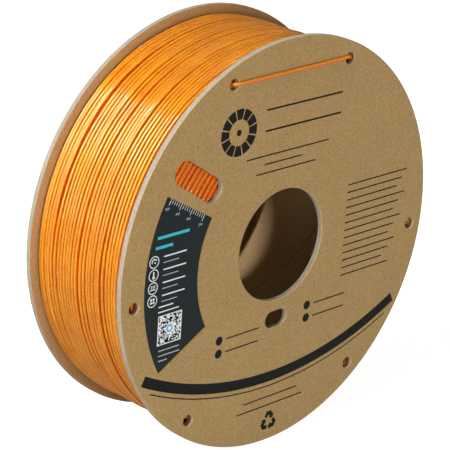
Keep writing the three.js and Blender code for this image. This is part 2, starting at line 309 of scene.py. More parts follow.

# %% [markdown]
# ## Plastic strand
# The strand is glossy orange plastic. Under the gloss its colour drifts a little along its
# length, and tiny pale dots stand for pigment grains that catch the light: painted glints.
# Plastic lets light through, so the flanks of a strand are painted redder than its crest: a painted
# glow.

# %% Plastic strand
GOLDEN = (1.0, 0.42, 0.03, 1.0)
# colour of the painted glints
PAINTED_GLINT_COLOUR = (1.0, 0.85, 0.34)
GLINTS_PER_METRE = 1700


def plastic(name, body, shade, painted_flank_glow, gloss=0.11, sheen=0.03):
    """Orange = slow drift between shade and body, with rare pale dots from random cells, painted
    glints.

    The share of the flank colour, a painted glow, grows as the normal turns away from the line out of
    the axis.
    """
    strand = Finish(
        name, Roughness=0.36, Specular_IOR_Level=0.0, Specular_Tint=GOLDEN, Metallic=sheen,
        Coat_Weight=gloss, Coat_Roughness=0.06, Coat_IOR=2.6,
    )
    colour = strand.mix(strand.spread(strand.noise(90, 3)), shade, body)
    outward = strand.node(
        "VectorMath", {"operation": "MULTIPLY_ADD"},
        i0=strand.place, i1=(1.0, 0.0, 1.0), i2=(0.0, 0.0, -AXIS_HEIGHT),
    ).outputs[0]
    outward = strand.node("VectorMath", {"operation": "NORMALIZE"}, i0=outward).outputs[0]
    facing = strand.node("VectorMath", {"operation": "DOT_PRODUCT"}, i0=outward, i1=strand.normal)
    # painted glow: flanks turned away from the line out of the axis get the redder flank colour
    painted_glow_share = strand.between(facing.outputs["Value"], 0.0, 0.55, 1.0, 0.0)
    colour = strand.mix(painted_glow_share, colour, painted_flank_glow)
    # painted glints: pale dots in rare cells, standing in for pigment grains that catch the light
    grain = strand.node("SeparateColor", Color=strand.cells(GLINTS_PER_METRE, "Color")).outputs[0]
    near = strand.between(strand.cells(GLINTS_PER_METRE), 0.16, 0.3, 1.0, 0.0)
    painted_glint = strand.times(strand.between(grain, 0.78, 0.84), near)
    colour = strand.mix(strand.times(painted_glint, 0.7), colour, PAINTED_GLINT_COLOUR)
    relief = strand.bump(strand.noise(700, 2), 0.015)
    relief = strand.bump(painted_glint, 0.02, relief)
    return strand.done(colour, relief)


# The last colour is the painted redder glow of the flanks.
STRAND = plastic(
    "orange_strand", (0.59, 0.218, 0.001), (0.535, 0.171, 0.001), (0.7, 0.152, 0.001)
)
# Brighter and redder than the outer strand: painted light that fills the shade of the grooves and
# stands in for light glowing through the plastic.
DEEP_STRAND_PAINTED_LIGHT = plastic(
    "orange_strand_deep", (0.9, 0.17, 0.001), (0.86, 0.14, 0.001), (0.9, 0.16, 0.001)
)
# Darker and redder than the outer strand: painted shade for the side turns, which lie recessed behind
# the sight window and the holes.
SIDE_STRAND_PAINTED_SHADE = plastic(
    "orange_strand_side", (0.57, 0.12, 0.001), (0.5, 0.094, 0.001), (0.57, 0.12, 0.001),
    gloss=0.09, sheen=0.2,
)

# %% [markdown]
# ## Label, inks and glue
# The gauge label is dark printed paper with a satin coat. Inks sit thinly on the paper, so each
# takes a little of the grain below. The glue is a dried, slightly yellow bead.

# %% Label, inks and glue
INK_THINNING, PAPER_SHADE = 0.18, 0.03


def satin_label():
    """Near-black paper whose satin coat is broken by a faint tooth."""
    label = Finish("gauge_label", Roughness=0.5, Specular_IOR_Level=0.08)
    tooth = label.noise(1100, 3)
    colour = label.mix(label.spread(tooth), (0.006, 0.009, 0.01), (0.011, 0.0155, 0.017))
    return label.done(colour, label.bump(tooth, 0.02), label.spread(tooth, 0.4, 0.58))


def ink(name, colour):
    """Ink: the colour, up to INK_THINNING of which the paper's own grain takes away."""
    coat = Finish(name, Roughness=0.7, Specular_IOR_Level=0.06)
    tooth = coat.between(coat.noise(1200, 3), 0.35, 0.75)
    thin = [channel + (PAPER_SHADE - channel) * INK_THINNING for channel in colour]
    return coat.done(coat.mix(tooth, colour, thin), coat.bump(tooth, 0.01))


def dried_glue():
    """Pale yellow glue with slow lumps under a soft gloss."""
    bead = Finish("dried_glue", Roughness=0.38, Subsurface_Weight=0.2)
    lumps = bead.noise(260, 3)
    colour = bead.mix(bead.spread(lumps), (0.42, 0.33, 0.19), (0.56, 0.47, 0.31))
    return bead.done(colour, bead.bump(lumps, 0.3))


LABEL = satin_label()
INK_DARK = ink("ink_dark", (0.007, 0.008, 0.006))
INK_WHITE = ink("ink_white", (0.72, 0.74, 0.74))
INK_GREY = ink("ink_grey", (0.42, 0.44, 0.44))
INK_TEAL = ink("ink_teal", (0.045, 0.45, 0.54))
GLUE = dried_glue()
print("finishes:", len(bpy.data.materials))

# %% [markdown]
# ## From arrays to a piece
# A piece is made from a vertex array and a list of face arrays, all of one length each. The
# signed volume of the closed surface tells whether its faces point outwards: where it comes out
# negative, every face is turned round.


# %% Piece from arrays
def signed_volume(vertices, faces):
    """A sixth of the sum of corner-by-corner triple products over all triangles."""
    total = 0.0
    for group in faces:
        for second in range(1, group.shape[1] - 1):
            a, b, c = (vertices[group[:, corner]] for corner in (0, second, second + 1))
            total += np.einsum("ij,ij->", a, np.cross(b, c)) / 6
    return total


def add_piece(name, mesh, material, replaces=()):
    """Shows the mesh as a piece of that material, which rides with the spool."""
    mesh.materials.clear()
    mesh.materials.append(material)
    made = bpy.data.objects.new(name, mesh)
    scene.collection.objects.link(made)
    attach(made, "root")
    if replaces:
        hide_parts(*replaces)


def make_piece(name, vertices, faces, material, slot, replaces=(), sharp_degrees=40.0):
    """A closed mesh in the frame, made a piece; the face arrays are (count, corners)."""
    vertices = np.asarray(vertices, float).reshape(-1, 3)
    faces = [np.asarray(group, int) for group in faces]
    volume = signed_volume(vertices, faces)
    if volume < 0:
        faces = [group[:, ::-1] for group in faces]
    loops = np.concatenate([group.ravel() for group in faces])
    corners = np.concatenate([np.full(len(group), group.shape[1]) for group in faces])
    mesh = bpy.data.meshes.new(name)
    mesh.vertices.add(len(vertices))
    mesh.vertices.foreach_set("co", to_frame(vertices).ravel())
    mesh.loops.add(len(loops))
    mesh.loops.foreach_set("vertex_index", loops)
    mesh.polygons.add(len(corners))
    mesh.polygons.foreach_set("loop_start", np.cumsum(corners) - corners)
    mesh.polygons.foreach_set("use_smooth", np.ones(len(corners), bool))
    mesh.update(calc_edges=True)
    mesh.validate()
    mesh.set_sharp_from_angle(angle=math.radians(sharp_degrees))
    add_piece(name, mesh, material, replaces)
    print(f"{name}: {(corners - 2).sum()} triangles, {abs(volume) / 1000:.3f} cm3")


def strips(rings, count, start=0, closed=True):
    """Quads between neighbouring rings of count points, numbered ring after ring from start."""
    here = start + count * np.arange(rings - 1)[:, None]
    place = np.arange(count if closed else count - 1)
    after = (place + 1) % count
    quads = [here + place, here + count + place, here + count + after, here + after]
    return np.stack(quads, axis=-1).reshape(-1, 4)


def triangulated(points, edges, faces, output):
    """Delaunay triangles of flat points, numbered as given and turned anticlockwise."""
    found = delaunay_2d_cdt([Vector(point) for point in points], edges, faces, output, 1e-7)
    triangles = np.array([[found[3][corner][0] for corner in face] for face in found[2]])
    a, b, c = (points[triangles[:, corner]] for corner in range(3))
    ahead, beside = b - a, c - a
    clockwise = ahead[:, 0] * beside[:, 1] < ahead[:, 1] * beside[:, 0]
    triangles[clockwise] = triangles[clockwise][:, ::-1]
    return triangles


# %% [markdown]
# ## Outlines of the die-cut disc
# One steel-rule die cuts the rim and every opening in a single stroke, so all sheets of a flange
# share these outlines. An outline runs with the material on its left: the rim anticlockwise, the
# openings clockwise. Sizes are in millimetres, tilts and angles in degrees.

# %% Outlines of the die-cut disc
BORE_RADIUS = 27.5
DRIVE_SLOT = {"length": 13.8, "height": 8.5, "tilt": 0.0}
DRIVE_SLOT_DROP = 37.15
WINDOW = {"length": 33.0, "height": 12.0, "tilt": 147.0}
WINDOW_DISTANCE, WINDOW_ANGLE = 70.3, 142.9
LACE_HOLE_RADIUS = 2.775
LACE_RING_RADIUS = 92.0
LACE_PAIRS = (90.0, 210.0, 330.0)
LACE_SPREAD = 24.1


def on_circle(degrees, radius, centre=(0.0, 0.0)):
    """x = radius cos(angle), z = radius sin(angle), moved to centre."""
    angle = np.radians(degrees)
    return np.stack([radius * np.cos(angle), radius * np.sin(angle)], axis=-1) + centre


def circle(radius, count, centre=(0.0, 0.0)):
    """count points evenly round a circle, anticlockwise."""
    return on_circle(np.arange(count) * 360 / count, radius, centre)


def turned(points, degrees):
    """Points of the front view turned anticlockwise about the axis."""
    angle = math.radians(degrees)
    across, up = points[..., 0], points[..., 1]
    return np.stack([
        across * math.cos(angle) - up * math.sin(angle),
        across * math.sin(angle) + up * math.cos(angle),
    ], axis=-1)


def upright(flat, y):
    """Points (x, z) of the front view, set up at depth y."""
    return np.stack([flat[..., 0], np.broadcast_to(y, flat.shape[:-1]), flat[..., 1]], axis=-1)


def slot_outline(length, height, tilt, centre, count=72):
    """A half circle round each end of a bar, turned by tilt and moved to centre."""
    end = on_circle(np.linspace(-90, 90, count // 2), height / 2, ((length - height) / 2, 0.0))
    return turned(np.concatenate([end, -end]), tilt) + centre


window_centre = on_circle(WINDOW_ANGLE, WINDOW_DISTANCE)
lace_centres = on_circle(
    np.array([middle + side * LACE_SPREAD for middle in LACE_PAIRS for side in (-1, 1)]),
    LACE_RING_RADIUS,
)
RIM = circle(FLANGE_RADIUS, 720)
OPENINGS = [
    circle(BORE_RADIUS, 144)[::-1],
    slot_outline(**DRIVE_SLOT, centre=(0.0, -DRIVE_SLOT_DROP), count=64)[::-1],
    slot_outline(**WINDOW, centre=window_centre, count=96)[::-1],
    *(circle(LACE_HOLE_RADIUS, 48, centre)[::-1] for centre in lace_centres),
]
print(f"outlines in the die: {1 + len(OPENINGS)} with {sum(map(len, [RIM, *OPENINGS]))} points")

# %% [markdown]
# ## Flange sheets
# A blunt die presses the paper down before it cuts, so the outer liner rolls over the edge of
# the board, most at the small holes. A bevel would round all edges alike, so each sheet is a
# profile of inset and depth carried along every outline, with a flat face between the outlines.
# A narrow flat strip beside each roll keeps the face's shading flat.

# %% Flange sheets
ROLL_STEPS = 6
GUARD = 0.6  # flat strip beside a rolled edge, mm
GRID_STEP, GRID_GAP = 8.0, 3.0  # points inside the flat faces, and their least gap to an outline
RIM_ROLL = (0.4, 0.32)  # inwards, downwards, mm
BORE_ROLL = (0.6, 0.42)
SLOT_ROLL = (0.7, 0.25)
HOLE_ROLL = (0.9, 0.6)
TORN_ROLL = (0.1, 0.08)  # of the inner liner, at every outline


def outward(outline):
    """Unit vectors to the right of the way along a closed outline."""
    way = np.roll(outline, -1, axis=0) - np.roll(outline, 1, axis=0)
    way /= np.linalg.norm(way, axis=1, keepdims=True)
    return np.stack([way[:, 1], -way[:, 0]], axis=-1)


def rolled(roll, depth):
    """Quarter ellipse of (inset, y): from the flat face at depth down to the cut edge."""
    inwards, down = roll
    turn = np.linspace(0, math.pi / 2, ROLL_STEPS)
    return np.stack([inwards * (1 - np.sin(turn)), depth + down * (1 - np.cos(turn))], axis=-1)


def flat_face(loops):
    """Triangles between outlines: a Delaunay net on their points and a loose inner grid.

    Grid points inside an opening go: those within the ellipse of its longest and shortest reach.
    Triangles go whose three corners all lie on the outline of one opening.
    """
    points = np.concatenate(loops)
    row = np.arange(-96, 97, GRID_STEP)
    grid = np.stack(np.meshgrid(row, row), axis=-1).reshape(-1, 2)
    gap = np.linalg.norm(grid[:, None] - points[None], axis=2).min(axis=1)
    kept = (np.linalg.norm(grid, axis=1) < FLANGE_RADIUS - GRID_GAP) & (gap > GRID_GAP)
    for loop in loops[1:]:
        centre = loop.mean(axis=0)
        reach = np.linalg.norm(loop - centre, axis=1)
        along = (loop[reach.argmax()] - centre) / reach.max()
        beside = np.array([-along[1], along[0]])
        near = grid - centre
        kept &= np.hypot(near @ along / reach.max(), near @ beside / reach.min()) > 1.0
    net = np.concatenate([points, grid[kept]])
    owner = np.full(len(net), -1)
    edges, start = [], 0
    for number, loop in enumerate(loops):
        numbers = start + np.arange(len(loop))
        owner[numbers] = number
        edges += np.stack([numbers, np.roll(numbers, -1)], axis=1).tolist()
        start += len(loop)
    triangles = triangulated(net, edges, [], 0)
    one, two, three = owner[triangles].T
    return net[len(points):], triangles[(one != two) | (two != three) | (one <= 0)]


def die_cut_sheet(profile_for):
    """Vertices and faces of a sheet; profile_for(roll) gives its (inset, y) from front to back."""
    outlines = [RIM, *OPENINGS]
    rolls = [RIM_ROLL, BORE_ROLL, SLOT_ROLL, SLOT_ROLL, *[HOLE_ROLL] * len(lace_centres)]
    vertices, quads, fronts, backs = [], [], [], []
    start = 0
    for outline, roll in zip(outlines, rolls):
        profile = profile_for(roll)
        count = len(outline)
        inset = outline - outward(outline) * profile[:, None, :1]
        vertices.append(upright(inset, profile[:, 1:]).reshape(-1, 3))
        quads.append(strips(len(profile), count, start))
        fronts.append(start + np.arange(count))
        backs.append(start + (len(profile) - 1) * count + np.arange(count))
        start += len(profile) * count
    vertices = np.concatenate(vertices)
    faces = [np.concatenate(quads)]
    for side, order in ((fronts, 1), (backs, -1)):
        inner, triangles = flat_face([vertices[numbers][:, [0, 2]] for numbers in side])
        depth = vertices[side[0][0], 1]
        added = upright(inner, depth)
        numbers = np.concatenate([*side, len(vertices) + np.arange(len(inner))])
        vertices = np.concatenate([vertices, added])
        faces.append(numbers[triangles][:, ::order])
    return vertices, faces


def outer_liner_profile(roll):
    """Front face, roll, cut paper edge, and the same roll again on the glued side."""
    front, back = rolled(roll, -FACE), rolled(roll, -FACE + LINER)
    guard = roll[0] + GUARD
    return np.concatenate([[[guard, -FACE]], front, back[::-1], [[guard, -FACE + LINER]]])


def board_profile(roll):
    """The board's front follows the rolled liner; its cut wall runs straight to the back."""
    front = rolled(roll, BOARD_FRONT)
    wall = np.stack([np.zeros(4), np.linspace(front[-1, 1], BOARD_BACK, 5)[1:]], axis=-1)
    return np.concatenate([[[roll[0] + GUARD, BOARD_FRONT]], front, wall, [[GUARD, BOARD_BACK]]])


def inner_liner_profile(roll):
    """A plain thin edge at every outline, a little rounded where the paper tore off the die."""
    soft = rolled(TORN_ROLL, INNER_FACE)
    soft[:, 1] = 2 * INNER_FACE - soft[:, 1]
    start = [[GUARD, INNER_LINER_FRONT], [0.0, INNER_LINER_FRONT]]
    return np.concatenate([start, soft[::-1], [[GUARD, INNER_FACE]]])


HALF_TURN = np.array([-1.0, -1.0, 1.0])  # the same disc, turned round for the back flange
SHEETS = (
    ("outer_liner", outer_liner_profile, KRAFT, "kraft_liner"),
    ("flange_board", board_profile, GREYBOARD, "greyboard"),
    ("inner_liner", inner_liner_profile, KRAFT_INSIDE, "kraft_liner"),
)
for sheet_name, profile_for, material, slot_name in SHEETS:
    sheet_vertices, sheet_faces = die_cut_sheet(profile_for)
    for side, turn in (("front", 1.0), ("back", HALF_TURN)):
        node = f"{side}_{sheet_name}"
        make_piece(f"{node}_cut", sheet_vertices * turn, sheet_faces, material, slot_name, [node])

# %% [markdown]
# ## Lanes of the wound strand
# A strand laid by machine is one line, so its turns can't be drawn as separate rings. Each turn
# lies in a lane beside the last one and steps over to the next lane in a short crossing. The
# lanes are closed wavy curves: neighbours touch, a turn that rides higher lets its neighbours
# close up, and the room left over gathers in a few grooves. All lanes are one array.

# %% Lanes of the wound strand
STRAND_RADIUS = 0.875
STRAND_DIAMETER = 2 * STRAND_RADIUS
OUTER_TURN_RADIUS = 94.825
UNDER_TURN_RADIUS = 93.3
FLANGE_CLEARANCE = 0.3
FIRST_Y = -INNER_FACE - FLANGE_CLEARANCE - STRAND_RADIUS
SLOW_WAVES, QUICK_WAVES = 5, 11  # of the lanes' wander, in a turn
HEIGHT_WANDER = 0.06
GROOVE_START, GROOVE_RISE = -0.4, 1.8  # a wish over the first opens a groove, over the second's run
LEAST_SHARE = 0.14  # of the spare room, where no groove opens
CROSSING = 0.1  # of a turn, from one lane to the next
HELIX_END = 129.1  # degrees, where the strand leaves the layer for its hole


def around(degrees, radius, y):
    """x = radius cos(angle), z = radius sin(angle), with y as given."""
    return upright(on_circle(degrees, radius), y)


def eased(share):
    """Smooth step from 0 to 1: 3 s^2 - 2 s^3, level at both ends and beyond."""
    share = np.clip(share, 0, 1)
    return share * share * (3 - 2 * share)


def wandering(samples, knots, rows=1):
    """Smooth random curves that close on themselves: cubics through random heights at knots."""
    heights = random.normal(size=(rows, knots))
    place = np.arange(samples) * knots / samples
    left = np.floor(place).astype(int)
    share = place - left
    a, b, c, d = (heights[:, (left + shift) % knots] for shift in (-1, 0, 1, 2))
    bend = share * (3 * (b - c) + d - a)
    return b + 0.5 * share * (c - a + share * (2 * a - 5 * b + 4 * c - d + bend))


def lane_places(count, steps, run, sunk, ridden):
    """Places across the spool and heights of count lanes at steps angles, both (count, steps).

    Height = a small wander, less sunk or plus ridden where slow curves pass a level. The spacing
    of neighbours is sqrt(d^2 - difference of height^2) and a share of the spare room, so that the
    spacings add up to run at every angle. Shares are small, but where a random wish is a groove.
    """
    slow = wandering(steps, SLOW_WAVES, count)
    height = HEIGHT_WANDER * wandering(steps, QUICK_WAVES, count) - sunk * eased(slow - 0.1)
    height += ridden * eased(-slow - 0.3)
    touching = np.sqrt(STRAND_DIAMETER**2 - np.diff(height, axis=0) ** 2)
    wish = random.normal(size=(count - 1, 1)) + 0.7 * wandering(steps, SLOW_WAVES, count - 1)
    share = LEAST_SHARE + eased((wish - GROOVE_START) / GROOVE_RISE)
    spare = run - touching.sum(axis=0)
    spacing = touching + share * (spare / share.sum(axis=0))
    place = np.concatenate([np.zeros((1, steps)), np.cumsum(spacing, axis=0)])
    widest = (spacing - touching).max()
    print(f"  {count} lanes, spare room {spare.mean():.2f} mm, widest groove {widest:.2f} mm")
    return place, height


def along_lanes(place, height):
    """One line through all lanes: value = last lane + eased crossing * (lane - last lane).

    Returns the turn count, the place across and the height of each point.
    """
    count, steps = place.shape
    over = eased(np.arange(steps) / steps / CROSSING)
    lines = []
    for value in (place, height):
        before = np.concatenate([value[:1], value[:-1]])
        line = (before + (value - before) * over).ravel()
        lines.append(np.append(line, value[-1, 0]))
    return np.arange(count * steps + 1) / steps, *lines


# %% [markdown]
# ## Surface of a strand
# The strand is a round cord. A curve with a bevel would draw it too, but the rings of a curve
# may twist where the way bends. Here every ring takes its upright from the spool's axis.


# %% Surface of a strand
def strand_surface(points, radius, sides):
    """Rings round the way: centre + radius (cos a outward + sin a across), closed at both ends.

    across is square to the way and to the spool's radius; outward is square to both.
    """
    way = np.gradient(points, axis=0)
    way /= np.linalg.norm(way, axis=1, keepdims=True)
    radial = points * (1.0, 0.0, 1.0)
    radial /= np.linalg.norm(radial, axis=1, keepdims=True)
    across = np.cross(way, radial)
    across /= np.linalg.norm(across, axis=1, keepdims=True)
    out = np.cross(across, way)
    angle = (np.arange(sides) * 2 * math.pi / sides)[:, None]
    rings = np.cos(angle) * out[:, None] + np.sin(angle) * across[:, None]
    rings = points[:, None] + radius * rings
    last = (len(points) - 1) * sides
    caps = np.stack([np.arange(sides)[::-1], last + np.arange(sides)])
    return rings.reshape(-1, 3), [strips(len(points), sides), caps]


# %% [markdown]
# ## Outer layer and laced end
# The outer layer starts at the back, where it climbs from the layer below, and ends at the front.
# There the strand leaves the layer, passes out through one hole, crosses the face and goes in
# through the next. The bends at the holes are arcs fitted into the corners of that route.

# %% Outer layer and laced end
OUTER_LANES, OUTER_STEPS, OUTER_SIDES = 27, 144, 14
OUTER_SUNK, OUTER_RIDDEN = 0.22, 0.5
RAMP = 0.14  # of a turn, in which the strand climbs from the layer below
LACE_BEND = 3.2
LACE_LEAN = 0.62  # degrees, sideways each way from the hole's middle
FACE_CLEARANCE = 0.055
ON_FACE = -FACE - STRAND_RADIUS - FACE_CLEARANCE
LACE_UP, LACE_DOWN = 1.0, 0.9  # over and under the ring of holes, where it goes in
LACE_END_DEPTH = 2.3


def rounded_route(corners, bend, steps=10):
    """Straight lines whose corners are replaced by arcs of radius bend, as far as there is room."""
    route = [corners[0]]
    for before, corner, after in zip(corners, corners[1:], corners[2:]):
        back, ahead = before - corner, after - corner
        back_length, ahead_length = np.linalg.norm(back), np.linalg.norm(ahead)
        back, ahead = back / back_length, ahead / ahead_length
        half = (math.pi - math.acos(float(np.clip(back @ ahead, -1, 1)))) / 2
        tangent = min(bend * math.tan(half), 0.49 * min(back_length, ahead_length))
        radius = tangent / math.tan(half)
        middle = back + ahead
        middle /= np.linalg.norm(middle)
        centre = corner + middle * radius / math.cos(half)
        first = corner + back * tangent - centre
        last = corner + ahead * tangent - centre
        share = np.linspace(0, 1, steps)[:, None]
        arc = (np.sin((1 - share) * 2 * half) * first + np.sin(share * 2 * half) * last)
        route += list(centre + arc / math.sin(2 * half))
    return np.array([*route, corners[-1]])


lanes, heights = lane_places(OUTER_LANES, OUTER_STEPS, 2 * FIRST_Y, OUTER_SUNK, OUTER_RIDDEN)
turn_count, across_spool, lift = along_lanes(lanes, heights)
climb = eased(turn_count / RAMP)
helix_radius = UNDER_TURN_RADIUS + climb * (OUTER_TURN_RADIUS + lift - UNDER_TURN_RADIUS)
helix = around(HELIX_END + 360 * (OUTER_LANES - turn_count), helix_radius, FIRST_Y - across_spool)

left_hole, right_hole = LACE_PAIRS[0] + LACE_SPREAD, LACE_PAIRS[0] - LACE_SPREAD
lace = rounded_route(
    [
        helix[-1],
        around(left_hole + LACE_LEAN, LACE_RING_RADIUS, -FIRST_Y),
        around(left_hole - LACE_LEAN, LACE_RING_RADIUS, ON_FACE),
        around(right_hole + LACE_LEAN, LACE_RING_RADIUS + LACE_UP, ON_FACE),
        around(right_hole - LACE_LEAN, LACE_RING_RADIUS - LACE_DOWN, INNER_FACE + LACE_END_DEPTH),
    ],
    LACE_BEND,
)
strand_points = np.concatenate([helix, lace[1:]])
make_piece(
    "filament_wound_layer", *strand_surface(strand_points, STRAND_RADIUS, OUTER_SIDES),
    STRAND, "filament", ["filament_outer_layer"],
)
steps_along = np.linalg.norm(np.diff(strand_points, axis=0), axis=1)
print(f"  the outer strand is {steps_along.sum() / 1000:.1f} m long")

# %% [markdown]
# ## The turns below
# Grooves of the outer layer show the layer under it, which is wound towards the back and ends
# where the outer layer starts. The sight window and the holes show the sides of all layers: the
# last turn of every second layer lies against the flange and the others sit in the hollows
# between, so together they look like two flat spirals. A plain ring fills what nobody can see.

# %% The turns below
UNDER_LANES, UNDER_STEPS, UNDER_SIDES = 30, 96, 8
UNDER_SUNK = 0.05
UNDER_START = 1.95  # behind the first lane of the outer layer, to clear its laced end
SIDE_PITCH = 3.04
SIDE_INNER = 50.0
FLUSH_END = (91.9, 20.0)  # radius and degrees, past the two holes of the laced end
SUNK_END = (90.63, 50.0)
SIDE_STEPS, SIDE_SIDES = 132, 10
SIDE_CLEARANCE, SIDE_WANDER = 0.12, 0.1
SIDE_Y = -INNER_FACE - STRAND_RADIUS - SIDE_CLEARANCE
DEEPER = 0.6  # the turns in the hollows, behind the others
FILL_RADII = (49.1, 91.2)
FILL_HALF_WIDTH = 25.9

under_run = 2 * FIRST_Y - UNDER_START
lanes, heights = lane_places(UNDER_LANES, UNDER_STEPS, under_run, UNDER_SUNK, 0.0)
turn_count, across_spool, lift = along_lanes(lanes, heights)
under_points = around(
    HELIX_END + 360 * (UNDER_LANES - turn_count), UNDER_TURN_RADIUS + lift,
    UNDER_START - FIRST_Y + across_spool,
)[:-2]  # it ends just short of the start of the outer layer
make_piece(
    "filament_layer_below", *strand_surface(under_points, STRAND_RADIUS, UNDER_SIDES),
    DEEP_STRAND_PAINTED_LIGHT, "filament",
)


def side_spiral(end, y):
    """A flat spiral: radius = its end - pitch * turns to go + a slow wander; y wanders inwards."""
    turns = (end[0] - SIDE_INNER) / SIDE_PITCH
    samples = int(turns * SIDE_STEPS)
    count = np.linspace(-turns, 0, samples)
    radius = end[0] + SIDE_PITCH * count + SIDE_WANDER * wandering(samples, int(turns * 3))[0]
    inwards = SIDE_WANDER * np.abs(wandering(samples, int(turns * 4))[0])
    return around(end[1] + 360 * count, radius, y - math.copysign(1, y) * inwards)


def ring_solid(profile, count):
    """Circles of count points through the corners (radius, y) of a profile, joined in a loop."""
    angle = np.arange(count) * 360 / count
    rings = np.stack([around(angle, radius, y) for radius, y in profile])
    return rings.reshape(-1, 3), [strips(len(profile) + 1, count) % (len(profile) * count)]


for side, direction in (("front", -1.0), ("back", 1.0)):
    flush, sunk = (
        strand_surface(side_spiral(end, direction * y), STRAND_RADIUS, SIDE_SIDES)
        for end, y in ((FLUSH_END, SIDE_Y), (SUNK_END, SIDE_Y - DEEPER))
    )
    faces = flush[1] + [other + len(flush[0]) for other in sunk[1]]
    make_piece(
        f"filament_side_turns_{side}", np.concatenate([flush[0], sunk[0]]), faces,
        SIDE_STRAND_PAINTED_SHADE, "filament",
    )
fill_inside, fill_outside = FILL_RADII
fill_profile = [
    (fill_inside, -FILL_HALF_WIDTH), (fill_outside, -FILL_HALF_WIDTH),
    (fill_outside, FILL_HALF_WIDTH), (fill_inside, FILL_HALF_WIDTH),
]
make_piece(
    "filament_under_turns", *ring_solid(fill_profile, 96), DEEP_STRAND_PAINTED_LIGHT, "filament",
    ["filament_inner_layers"],
)

# %% [markdown]
# ## Core tube and glue
# The bore shows the inside of the spiral-wound tube: one strip of paper that goes round with a
# long lead, so its two edges leave a slanted seam. A painted seam would catch no light, so the
# strip is a grid of angle and length whose angle starts at the seam, with a real gap. A lumpy
# bead of glue runs round both ends.

# %% Core tube and glue
TUBE_INSIDE = 45.75
PLY = 0.4
PLY_LEAD = 121.0
SEAM_ANGLE = -46.0
SEAM_GAP = 0.7
EDGE_LIFT, EDGE_REACH = 0.12, 1.5  # how far the strip's edges lift, and how soon it fades
BEAD_LEG = 1.2
BEAD_HOLLOW = 0.42  # of a leg, from the corner to the middle of the bead's face
BEAD_CLEARANCE = 0.05


def wound_ply(inside, outside, half_length, angles=240, lengths=40):
    """angle = seam at that y + share of the turn; radius = inside or outside wall of the ply.

    The edges at the seam lift a little, as the strip's edges do where they were glued.
    """
    y = np.linspace(-half_length, half_length, lengths)[:, None]
    share = np.linspace(0, 1, angles)[None]
    gap = math.degrees(SEAM_GAP / inside)
    angle = SEAM_ANGLE - 360 * y / PLY_LEAD + gap / 2 + share * (360 - gap)
    edge = np.exp(-np.minimum(share, 1 - share) * 2 * math.pi * inside / EDGE_REACH)
    walls = np.stack([
        around(angle, radius - EDGE_LIFT * edge, np.broadcast_to(y, angle.shape))
        for radius in (inside, outside)
    ])
    count = angles * lengths
    grid = strips(lengths, angles, closed=False)
    border = np.concatenate([
        np.arange(angles), angles * np.arange(1, lengths) + angles - 1,
        count - 2 - np.arange(angles - 1), angles * np.arange(lengths - 2, 0, -1),
    ])
    after = np.roll(border, -1)
    edges = np.stack([border, after, after + count, border + count], axis=-1)
    return walls.reshape(-1, 3), [grid[:, ::-1], grid + count, edges[:, ::-1]]


make_piece(
    "core_inner_ply_wound", *wound_ply(TUBE_INSIDE, TUBE_INSIDE + PLY, TUBE_HALF_LENGTH),
    TUBE_PAPER, "core_paper", ["core_inner_ply"],
)


def glue_bead(count=200):
    """A fillet in the corner of tube and flange; its two legs swell and shrink round the ring."""
    legs = BEAD_LEG * (0.18 + 0.8 * eased(0.8 * wandering(count, 26)[0] - 0.6)).clip(0.15, 1)
    corner, base = TUBE_INSIDE - BEAD_CLEARANCE, INNER_FACE + BEAD_CLEARANCE
    hollow = BEAD_HOLLOW * legs
    profile = [
        (corner, base), (corner, base + legs),
        (corner - hollow, base + hollow), (corner - legs, base),
    ]
    return ring_solid(profile, count)


for side, turn in (("front", 1.0), ("back", HALF_TURN)):
    bead_vertices, bead_faces = glue_bead()
    make_piece(
        f"{side}_glue_bead", bead_vertices * turn, bead_faces, GLUE, "glue",
        [f"{side}_glue_ring"], sharp_degrees=60.0,
    )

# %% [markdown]
# ## Pieces that stay as they are
# The body and the outer ply of the tube are hidden, and the label is a plain sheet. Their solids
# stay, and only get the finish of their material.

# %% Pieces that stay as they are
KEPT_SOLIDS = {"core_tube_body": GREYBOARD, "core_outer_ply": TUBE_PAPER, "gauge_label": LABEL}
for node_name, material in KEPT_SOLIDS.items():
    node_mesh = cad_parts[node_name].data
    node_mesh.materials.clear()
    node_mesh.materials.append(material)

# %% [markdown]
# ## Prints
# Ink is thinner than a hair, but each print here is a real, very thin plate, so that it also
# shows in the exported meshes. A shape is an outline, or two outlines with a band between them.

# %% Print shapes
INK_THICKNESS = 0.02
INK_SUNK = 0.04


def bar(left, low, right, high):
    """A rectangle from its corners."""
    return np.array([[left, low], [right, low], [right, high], [left, high]]), None


def stroke(one, other, width):
    """A straight bar of that width from one point to the other."""
    way = (other - one) / np.linalg.norm(other - one)
    side = np.array([-way[1], way[0]]) * width / 2
    return np.array([one - side, other - side, other + side, one + side]), None


def ring(centre, inside, outside, count=40):
    """The band between two circles."""
    return circle(outside, count, centre), circle(inside, count, centre)


def disc(centre, radius, count=28):
    """A filled circle."""
    return circle(radius, count, centre), None


def arc_band(inside, outside, start, end, centre=(0.0, 0.0), count=60):
    """The part of a ring from one angle to another."""
    angles = np.linspace(start, end, count)
    outer = on_circle(angles, outside, centre)
    inner = on_circle(angles[::-1], inside, centre)
    return np.concatenate([outer, inner]), None


def bent_arrow(corners, width, head_width, head_length):
    """Outline of a band along corners with a head: side lines, offset at each bend by its mitre."""
    way = np.diff(corners, axis=0)
    way /= np.linalg.norm(way, axis=1, keepdims=True)
    left = np.stack([-way[:, 1], way[:, 0]], axis=-1)
    before, after = np.concatenate([left[:1], left]), np.concatenate([left, left[-1:]])
    mitre = (before + after) / (1 + (before * after).sum(axis=1, keepdims=True))
    lefts, rights = corners + mitre * width / 2, corners - mitre * width / 2
    tip = corners[-1] + way[-1] * head_length
    head = [corners[-1] - left[-1] * head_width / 2, tip, corners[-1] + left[-1] * head_width / 2]
    return np.concatenate([rights, head, lefts[::-1]])


